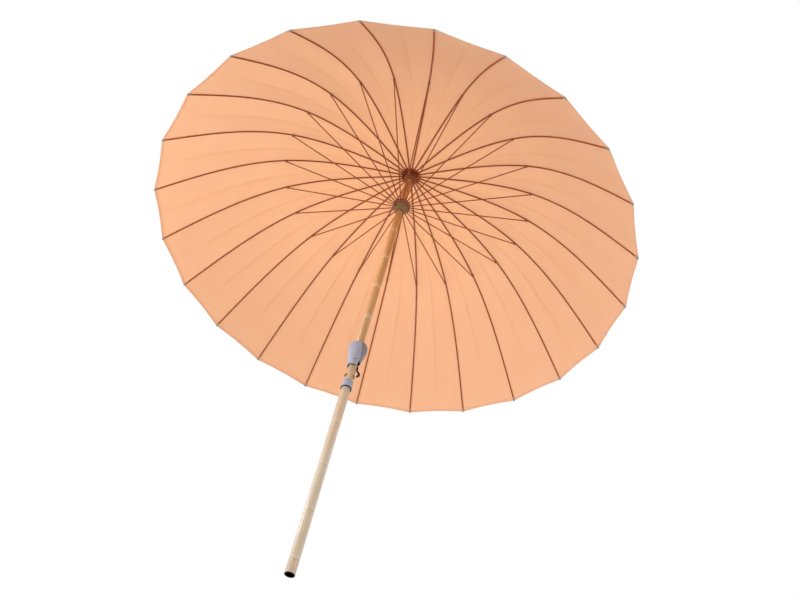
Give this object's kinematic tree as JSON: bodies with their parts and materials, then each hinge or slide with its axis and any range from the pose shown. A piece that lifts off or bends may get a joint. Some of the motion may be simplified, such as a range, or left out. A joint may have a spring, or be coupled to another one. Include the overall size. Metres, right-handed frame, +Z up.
{
  "type": "garden parasol with bent ribs",
  "caption": "Round parasol: bent ribs and struts fold on a runner; the bamboo-look pole extends, and tilts at a lever-released joint.",
  "frame": {"origin": "centre of the pole's lower end face", "axes": "+Z up the pole to the crown; +X towards the tilt lever; the canopy tilts towards +X"},
  "size_m": [2.1074, 2.1074, 2.2179],
  "materials": {
    "bamboo_print": "satin bamboo print",
    "brown_rod": "satin red-brown coating on glass-fibre rod",
    "brown_hub": "satin",
    "grey_plastic": "satin",
    "dark_plastic": "satin",
    "peach_fabric": "plain woven, lets light through"
  },
  "bodies": {
    "lower": {"lower_tube": "bamboo_print"},
    "collar": {"lock_collar": "grey_plastic"},
    "middle": {"middle_tube": "bamboo_print", "tilt_knuckle": "dark_plastic"},
    "lever": {"tilt_lever": "dark_plastic"},
    "mast": {"tilt_housing": "grey_plastic", "upper_tube": "bamboo_print", "crown_hub": "brown_hub", "top_cap": "brown_hub", "canopy": "peach_fabric"},
    "slider": {"runner": "brown_hub"},
    "slider_button": {"runner_button": "dark_plastic"},
    "rib_01": {"rib_01": "brown_rod"},
    "rib_02": {"rib_02": "brown_rod"},
    "rib_03": {"rib_03": "brown_rod"},
    "rib_04": {"rib_04": "brown_rod"},
    "rib_05": {"rib_05": "brown_rod"},
    "rib_06": {"rib_06": "brown_rod"},
    "rib_07": {"rib_07": "brown_rod"},
    "rib_08": {"rib_08": "brown_rod"},
    "rib_09": {"rib_09": "brown_rod"},
    "rib_10": {"rib_10": "brown_rod"},
    "rib_11": {"rib_11": "brown_rod"},
    "rib_12": {"rib_12": "brown_rod"},
    "rib_13": {"rib_13": "brown_rod"},
    "rib_14": {"rib_14": "brown_rod"},
    "rib_15": {"rib_15": "brown_rod"},
    "rib_16": {"rib_16": "brown_rod"},
    "rib_17": {"rib_17": "brown_rod"},
    "rib_18": {"rib_18": "brown_rod"},
    "rib_19": {"rib_19": "brown_rod"},
    "rib_20": {"rib_20": "brown_rod"},
    "rib_21": {"rib_21": "brown_rod"},
    "rib_22": {"rib_22": "brown_rod"},
    "rib_23": {"rib_23": "brown_rod"},
    "rib_24": {"rib_24": "brown_rod"},
    "strut_01": {"strut_01": "brown_rod"},
    "strut_02": {"strut_02": "brown_rod"},
    "strut_03": {"strut_03": "brown_rod"},
    "strut_04": {"strut_04": "brown_rod"},
    "strut_05": {"strut_05": "brown_rod"},
    "strut_06": {"strut_06": "brown_rod"},
    "strut_07": {"strut_07": "brown_rod"},
    "strut_08": {"strut_08": "brown_rod"},
    "strut_09": {"strut_09": "brown_rod"},
    "strut_10": {"strut_10": "brown_rod"},
    "strut_11": {"strut_11": "brown_rod"},
    "strut_12": {"strut_12": "brown_rod"},
    "strut_13": {"strut_13": "brown_rod"},
    "strut_14": {"strut_14": "brown_rod"},
    "strut_15": {"strut_15": "brown_rod"},
    "strut_16": {"strut_16": "brown_rod"},
    "strut_17": {"strut_17": "brown_rod"},
    "strut_18": {"strut_18": "brown_rod"},
    "strut_19": {"strut_19": "brown_rod"},
    "strut_20": {"strut_20": "brown_rod"},
    "strut_21": {"strut_21": "brown_rod"},
    "strut_22": {"strut_22": "brown_rod"},
    "strut_23": {"strut_23": "brown_rod"},
    "strut_24": {"strut_24": "brown_rod"}
  },
  "joints": [
    {"name": "collar_twist", "type": "hinge", "parent": "lower", "child": "collar", "pos_m": [0, 0, 0.815], "axis": [0, 0, 1], "range_deg": [0, 90]},
    {"name": "height_slide", "type": "slide", "parent": "lower", "child": "middle", "axis": [0, 0, 1], "range_m": [0, 0.3]},
    {"name": "lever_press", "type": "hinge", "parent": "middle", "child": "lever", "pos_m": [0.0195, 0, 0.905], "axis": [0, 1, 0], "range_deg": [0, 8], "stiffness_Nm_per_rad": 0.5},
    {"name": "mast_tilt", "type": "hinge", "parent": "middle", "child": "mast", "pos_m": [0, 0, 0.936], "axis": [0, 1, 0], "range_deg": [0, 35]},
    {"name": "rib_01_fold", "type": "hinge", "parent": "mast", "child": "rib_01", "pos_m": [0.03361, 0, 2.185], "axis": [0, 1, 0], "range_deg": [0, 60], "deforming": ["canopy"]},
    {"name": "strut_01_fold", "type": "hinge", "parent": "rib_01", "child": "strut_01", "pos_m": [0.575, 0, 2.0655], "axis": [0, 1, 0], "range_deg": [-120, 0]},
    {"name": "rib_02_fold", "type": "hinge", "parent": "mast", "child": "rib_02", "pos_m": [0.03247, 0.0087, 2.185], "axis": [-0.2588, 0.9659, 0], "range_deg": [0, 60]},
    {"name": "strut_02_fold", "type": "hinge", "parent": "rib_02", "child": "strut_02", "pos_m": [0.55541, 0.14882, 2.0655], "axis": [-0.2588, 0.9659, 0], "range_deg": [-120, 0]},
    {"name": "rib_03_fold", "type": "hinge", "parent": "mast", "child": "rib_03", "pos_m": [0.02911, 0.01681, 2.185], "axis": [-0.5, 0.866, 0], "range_deg": [0, 60]},
    {"name": "strut_03_fold", "type": "hinge", "parent": "rib_03", "child": "strut_03", "pos_m": [0.49796, 0.2875, 2.0655], "axis": [-0.5, 0.866, 0], "range_deg": [-120, 0]},
    {"name": "rib_04_fold", "type": "hinge", "parent": "mast", "child": "rib_04", "pos_m": [0.02377, 0.02377, 2.185], "axis": [-0.7071, 0.7071, 0], "range_deg": [0, 60]},
    {"name": "strut_04_fold", "type": "hinge", "parent": "rib_04", "child": "strut_04", "pos_m": [0.40659, 0.40659, 2.0655], "axis": [-0.7071, 0.7071, 0], "range_deg": [-120, 0]},
    {"name": "rib_05_fold", "type": "hinge", "parent": "mast", "child": "rib_05", "pos_m": [0.01681, 0.02911, 2.185], "axis": [-0.866, 0.5, 0], "range_deg": [0, 60]},
    {"name": "strut_05_fold", "type": "hinge", "parent": "rib_05", "child": "strut_05", "pos_m": [0.2875, 0.49796, 2.0655], "axis": [-0.866, 0.5, 0], "range_deg": [-120, 0]},
    {"name": "rib_06_fold", "type": "hinge", "parent": "mast", "child": "rib_06", "pos_m": [0.0087, 0.03247, 2.185], "axis": [-0.9659, 0.2588, 0], "range_deg": [0, 60]},
    {"name": "strut_06_fold", "type": "hinge", "parent": "rib_06", "child": "strut_06", "pos_m": [0.14882, 0.55541, 2.0655], "axis": [-0.9659, 0.2588, 0], "range_deg": [-120, 0]},
    {"name": "rib_07_fold", "type": "hinge", "parent": "mast", "child": "rib_07", "pos_m": [0, 0.03361, 2.185], "axis": [-1, 0, 0], "range_deg": [0, 60]},
    {"name": "strut_07_fold", "type": "hinge", "parent": "rib_07", "child": "strut_07", "pos_m": [0, 0.575, 2.0655], "axis": [-1, 0, 0], "range_deg": [-120, 0]},
    {"name": "rib_08_fold", "type": "hinge", "parent": "mast", "child": "rib_08", "pos_m": [-0.0087, 0.03247, 2.185], "axis": [-0.9659, -0.2588, 0], "range_deg": [0, 60]},
    {"name": "strut_08_fold", "type": "hinge", "parent": "rib_08", "child": "strut_08", "pos_m": [-0.14882, 0.55541, 2.0655], "axis": [-0.9659, -0.2588, 0], "range_deg": [-120, 0]},
    {"name": "rib_09_fold", "type": "hinge", "parent": "mast", "child": "rib_09", "pos_m": [-0.01681, 0.02911, 2.185], "axis": [-0.866, -0.5, 0], "range_deg": [0, 60]},
    {"name": "strut_09_fold", "type": "hinge", "parent": "rib_09", "child": "strut_09", "pos_m": [-0.2875, 0.49796, 2.0655], "axis": [-0.866, -0.5, 0], "range_deg": [-120, 0]},
    {"name": "rib_10_fold", "type": "hinge", "parent": "mast", "child": "rib_10", "pos_m": [-0.02377, 0.02377, 2.185], "axis": [-0.7071, -0.7071, 0], "range_deg": [0, 60]},
    {"name": "strut_10_fold", "type": "hinge", "parent": "rib_10", "child": "strut_10", "pos_m": [-0.40659, 0.40659, 2.0655], "axis": [-0.7071, -0.7071, 0], "range_deg": [-120, 0]},
    {"name": "rib_11_fold", "type": "hinge", "parent": "mast", "child": "rib_11", "pos_m": [-0.02911, 0.01681, 2.185], "axis": [-0.5, -0.866, 0], "range_deg": [0, 60]},
    {"name": "strut_11_fold", "type": "hinge", "parent": "rib_11", "child": "strut_11", "pos_m": [-0.49796, 0.2875, 2.0655], "axis": [-0.5, -0.866, 0], "range_deg": [-120, 0]},
    {"name": "rib_12_fold", "type": "hinge", "parent": "mast", "child": "rib_12", "pos_m": [-0.03247, 0.0087, 2.185], "axis": [-0.2588, -0.9659, 0], "range_deg": [0, 60]},
    {"name": "strut_12_fold", "type": "hinge", "parent": "rib_12", "child": "strut_12", "pos_m": [-0.55541, 0.14882, 2.0655], "axis": [-0.2588, -0.9659, 0], "range_deg": [-120, 0]},
    {"name": "rib_13_fold", "type": "hinge", "parent": "mast", "child": "rib_13", "pos_m": [-0.03361, 0, 2.185], "axis": [0, -1, 0], "range_deg": [0, 60]},
    {"name": "strut_13_fold", "type": "hinge", "parent": "rib_13", "child": "strut_13", "pos_m": [-0.575, 0, 2.0655], "axis": [0, -1, 0], "range_deg": [-120, 0]},
    {"name": "rib_14_fold", "type": "hinge", "parent": "mast", "child": "rib_14", "pos_m": [-0.03247, -0.0087, 2.185], "axis": [0.2588, -0.9659, 0], "range_deg": [0, 60]},
    {"name": "strut_14_fold", "type": "hinge", "parent": "rib_14", "child": "strut_14", "pos_m": [-0.55541, -0.14882, 2.0655], "axis": [0.2588, -0.9659, 0], "range_deg": [-120, 0]},
    {"name": "rib_15_fold", "type": "hinge", "parent": "mast", "child": "rib_15", "pos_m": [-0.02911, -0.01681, 2.185], "axis": [0.5, -0.866, 0], "range_deg": [0, 60]},
    {"name": "strut_15_fold", "type": "hinge", "parent": "rib_15", "child": "strut_15", "pos_m": [-0.49796, -0.2875, 2.0655], "axis": [0.5, -0.866, 0], "range_deg": [-120, 0]},
    {"name": "rib_16_fold", "type": "hinge", "parent": "mast", "child": "rib_16", "pos_m": [-0.02377, -0.02377, 2.185], "axis": [0.7071, -0.7071, 0], "range_deg": [0, 60]},
    {"name": "strut_16_fold", "type": "hinge", "parent": "rib_16", "child": "strut_16", "pos_m": [-0.40659, -0.40659, 2.0655], "axis": [0.7071, -0.7071, 0], "range_deg": [-120, 0]},
    {"name": "rib_17_fold", "type": "hinge", "parent": "mast", "child": "rib_17", "pos_m": [-0.01681, -0.02911, 2.185], "axis": [0.866, -0.5, 0], "range_deg": [0, 60]},
    {"name": "strut_17_fold", "type": "hinge", "parent": "rib_17", "child": "strut_17", "pos_m": [-0.2875, -0.49796, 2.0655], "axis": [0.866, -0.5, 0], "range_deg": [-120, 0]},
    {"name": "rib_18_fold", "type": "hinge", "parent": "mast", "child": "rib_18", "pos_m": [-0.0087, -0.03247, 2.185], "axis": [0.9659, -0.2588, 0], "range_deg": [0, 60]},
    {"name": "strut_18_fold", "type": "hinge", "parent": "rib_18", "child": "strut_18", "pos_m": [-0.14882, -0.55541, 2.0655], "axis": [0.9659, -0.2588, 0], "range_deg": [-120, 0]},
    {"name": "rib_19_fold", "type": "hinge", "parent": "mast", "child": "rib_19", "pos_m": [0, -0.03361, 2.185], "axis": [1, 0, 0], "range_deg": [0, 60]},
    {"name": "strut_19_fold", "type": "hinge", "parent": "rib_19", "child": "strut_19", "pos_m": [0, -0.575, 2.0655], "axis": [1, 0, 0], "range_deg": [-120, 0]},
    {"name": "rib_20_fold", "type": "hinge", "parent": "mast", "child": "rib_20", "pos_m": [0.0087, -0.03247, 2.185], "axis": [0.9659, 0.2588, 0], "range_deg": [0, 60]},
    {"name": "strut_20_fold", "type": "hinge", "parent": "rib_20", "child": "strut_20", "pos_m": [0.14882, -0.55541, 2.0655], "axis": [0.9659, 0.2588, 0], "range_deg": [-120, 0]},
    {"name": "rib_21_fold", "type": "hinge", "parent": "mast", "child": "rib_21", "pos_m": [0.01681, -0.02911, 2.185], "axis": [0.866, 0.5, 0], "range_deg": [0, 60]},
    {"name": "strut_21_fold", "type": "hinge", "parent": "rib_21", "child": "strut_21", "pos_m": [0.2875, -0.49796, 2.0655], "axis": [0.866, 0.5, 0], "range_deg": [-120, 0]},
    {"name": "rib_22_fold", "type": "hinge", "parent": "mast", "child": "rib_22", "pos_m": [0.02377, -0.02377, 2.185], "axis": [0.7071, 0.7071, 0], "range_deg": [0, 60]},
    {"name": "strut_22_fold", "type": "hinge", "parent": "rib_22", "child": "strut_22", "pos_m": [0.40659, -0.40659, 2.0655], "axis": [0.7071, 0.7071, 0], "range_deg": [-120, 0]},
    {"name": "rib_23_fold", "type": "hinge", "parent": "mast", "child": "rib_23", "pos_m": [0.02911, -0.01681, 2.185], "axis": [0.5, 0.866, 0], "range_deg": [0, 60]},
    {"name": "strut_23_fold", "type": "hinge", "parent": "rib_23", "child": "strut_23", "pos_m": [0.49796, -0.2875, 2.0655], "axis": [0.5, 0.866, 0], "range_deg": [-120, 0]},
    {"name": "rib_24_fold", "type": "hinge", "parent": "mast", "child": "rib_24", "pos_m": [0.03247, -0.0087, 2.185], "axis": [0.2588, 0.9659, 0], "range_deg": [0, 60]},
    {"name": "strut_24_fold", "type": "hinge", "parent": "rib_24", "child": "strut_24", "pos_m": [0.55541, -0.14882, 2.0655], "axis": [0.2588, 0.9659, 0], "range_deg": [-120, 0]},
    {"name": "runner_slide", "type": "hinge", "parent": "strut_01", "child": "slider", "pos_m": [0.03361, 0, 1.946], "axis": [0, 1, 0], "range_deg": [0, 60]},
    {"name": "button_press", "type": "slide", "parent": "slider", "child": "slider_button", "axis": [0.866, 0.5, 0], "range_m": [0, 0.0025], "stiffness_N_per_m": 800}
  ],
  "couplings": [
    {"joint": "strut_01_fold", "follows": "rib_01_fold", "ratio": -2},
    {"joint": "rib_02_fold", "follows": "rib_01_fold", "ratio": 1},
    {"joint": "strut_02_fold", "follows": "rib_01_fold", "ratio": -2},
    {"joint": "rib_03_fold", "follows": "rib_01_fold", "ratio": 1},
    {"joint": "strut_03_fold", "follows": "rib_01_fold", "ratio": -2},
    {"joint": "rib_04_fold", "follows": "rib_01_fold", "ratio": 1},
    {"joint": "strut_04_fold", "follows": "rib_01_fold", "ratio": -2},
    {"joint": "rib_05_fold", "follows": "rib_01_fold", "ratio": 1},
    {"joint": "strut_05_fold", "follows": "rib_01_fold", "ratio": -2},
    {"joint": "rib_06_fold", "follows": "rib_01_fold", "ratio": 1},
    {"joint": "strut_06_fold", "follows": "rib_01_fold", "ratio": -2},
    {"joint": "rib_07_fold", "follows": "rib_01_fold", "ratio": 1},
    {"joint": "strut_07_fold", "follows": "rib_01_fold", "ratio": -2},
    {"joint": "rib_08_fold", "follows": "rib_01_fold", "ratio": 1},
    {"joint": "strut_08_fold", "follows": "rib_01_fold", "ratio": -2},
    {"joint": "rib_09_fold", "follows": "rib_01_fold", "ratio": 1},
    {"joint": "strut_09_fold", "follows": "rib_01_fold", "ratio": -2},
    {"joint": "rib_10_fold", "follows": "rib_01_fold", "ratio": 1},
    {"joint": "strut_10_fold", "follows": "rib_01_fold", "ratio": -2},
    {"joint": "rib_11_fold", "follows": "rib_01_fold", "ratio": 1},
    {"joint": "strut_11_fold", "follows": "rib_01_fold", "ratio": -2},
    {"joint": "rib_12_fold", "follows": "rib_01_fold", "ratio": 1},
    {"joint": "strut_12_fold", "follows": "rib_01_fold", "ratio": -2},
    {"joint": "rib_13_fold", "follows": "rib_01_fold", "ratio": 1},
    {"joint": "strut_13_fold", "follows": "rib_01_fold", "ratio": -2},
    {"joint": "rib_14_fold", "follows": "rib_01_fold", "ratio": 1},
    {"joint": "strut_14_fold", "follows": "rib_01_fold", "ratio": -2},
    {"joint": "rib_15_fold", "follows": "rib_01_fold", "ratio": 1},
    {"joint": "strut_15_fold", "follows": "rib_01_fold", "ratio": -2},
    {"joint": "rib_16_fold", "follows": "rib_01_fold", "ratio": 1},
    {"joint": "strut_16_fold", "follows": "rib_01_fold", "ratio": -2},
    {"joint": "rib_17_fold", "follows": "rib_01_fold", "ratio": 1},
    {"joint": "strut_17_fold", "follows": "rib_01_fold", "ratio": -2},
    {"joint": "rib_18_fold", "follows": "rib_01_fold", "ratio": 1},
    {"joint": "strut_18_fold", "follows": "rib_01_fold", "ratio": -2},
    {"joint": "rib_19_fold", "follows": "rib_01_fold", "ratio": 1},
    {"joint": "strut_19_fold", "follows": "rib_01_fold", "ratio": -2},
    {"joint": "rib_20_fold", "follows": "rib_01_fold", "ratio": 1},
    {"joint": "strut_20_fold", "follows": "rib_01_fold", "ratio": -2},
    {"joint": "rib_21_fold", "follows": "rib_01_fold", "ratio": 1},
    {"joint": "strut_21_fold", "follows": "rib_01_fold", "ratio": -2},
    {"joint": "rib_22_fold", "follows": "rib_01_fold", "ratio": 1},
    {"joint": "strut_22_fold", "follows": "rib_01_fold", "ratio": -2},
    {"joint": "rib_23_fold", "follows": "rib_01_fold", "ratio": 1},
    {"joint": "strut_23_fold", "follows": "rib_01_fold", "ratio": -2},
    {"joint": "rib_24_fold", "follows": "rib_01_fold", "ratio": 1},
    {"joint": "strut_24_fold", "follows": "rib_01_fold", "ratio": -2},
    {"joint": "runner_slide", "follows": "rib_01_fold", "ratio": 1}
  ]
}
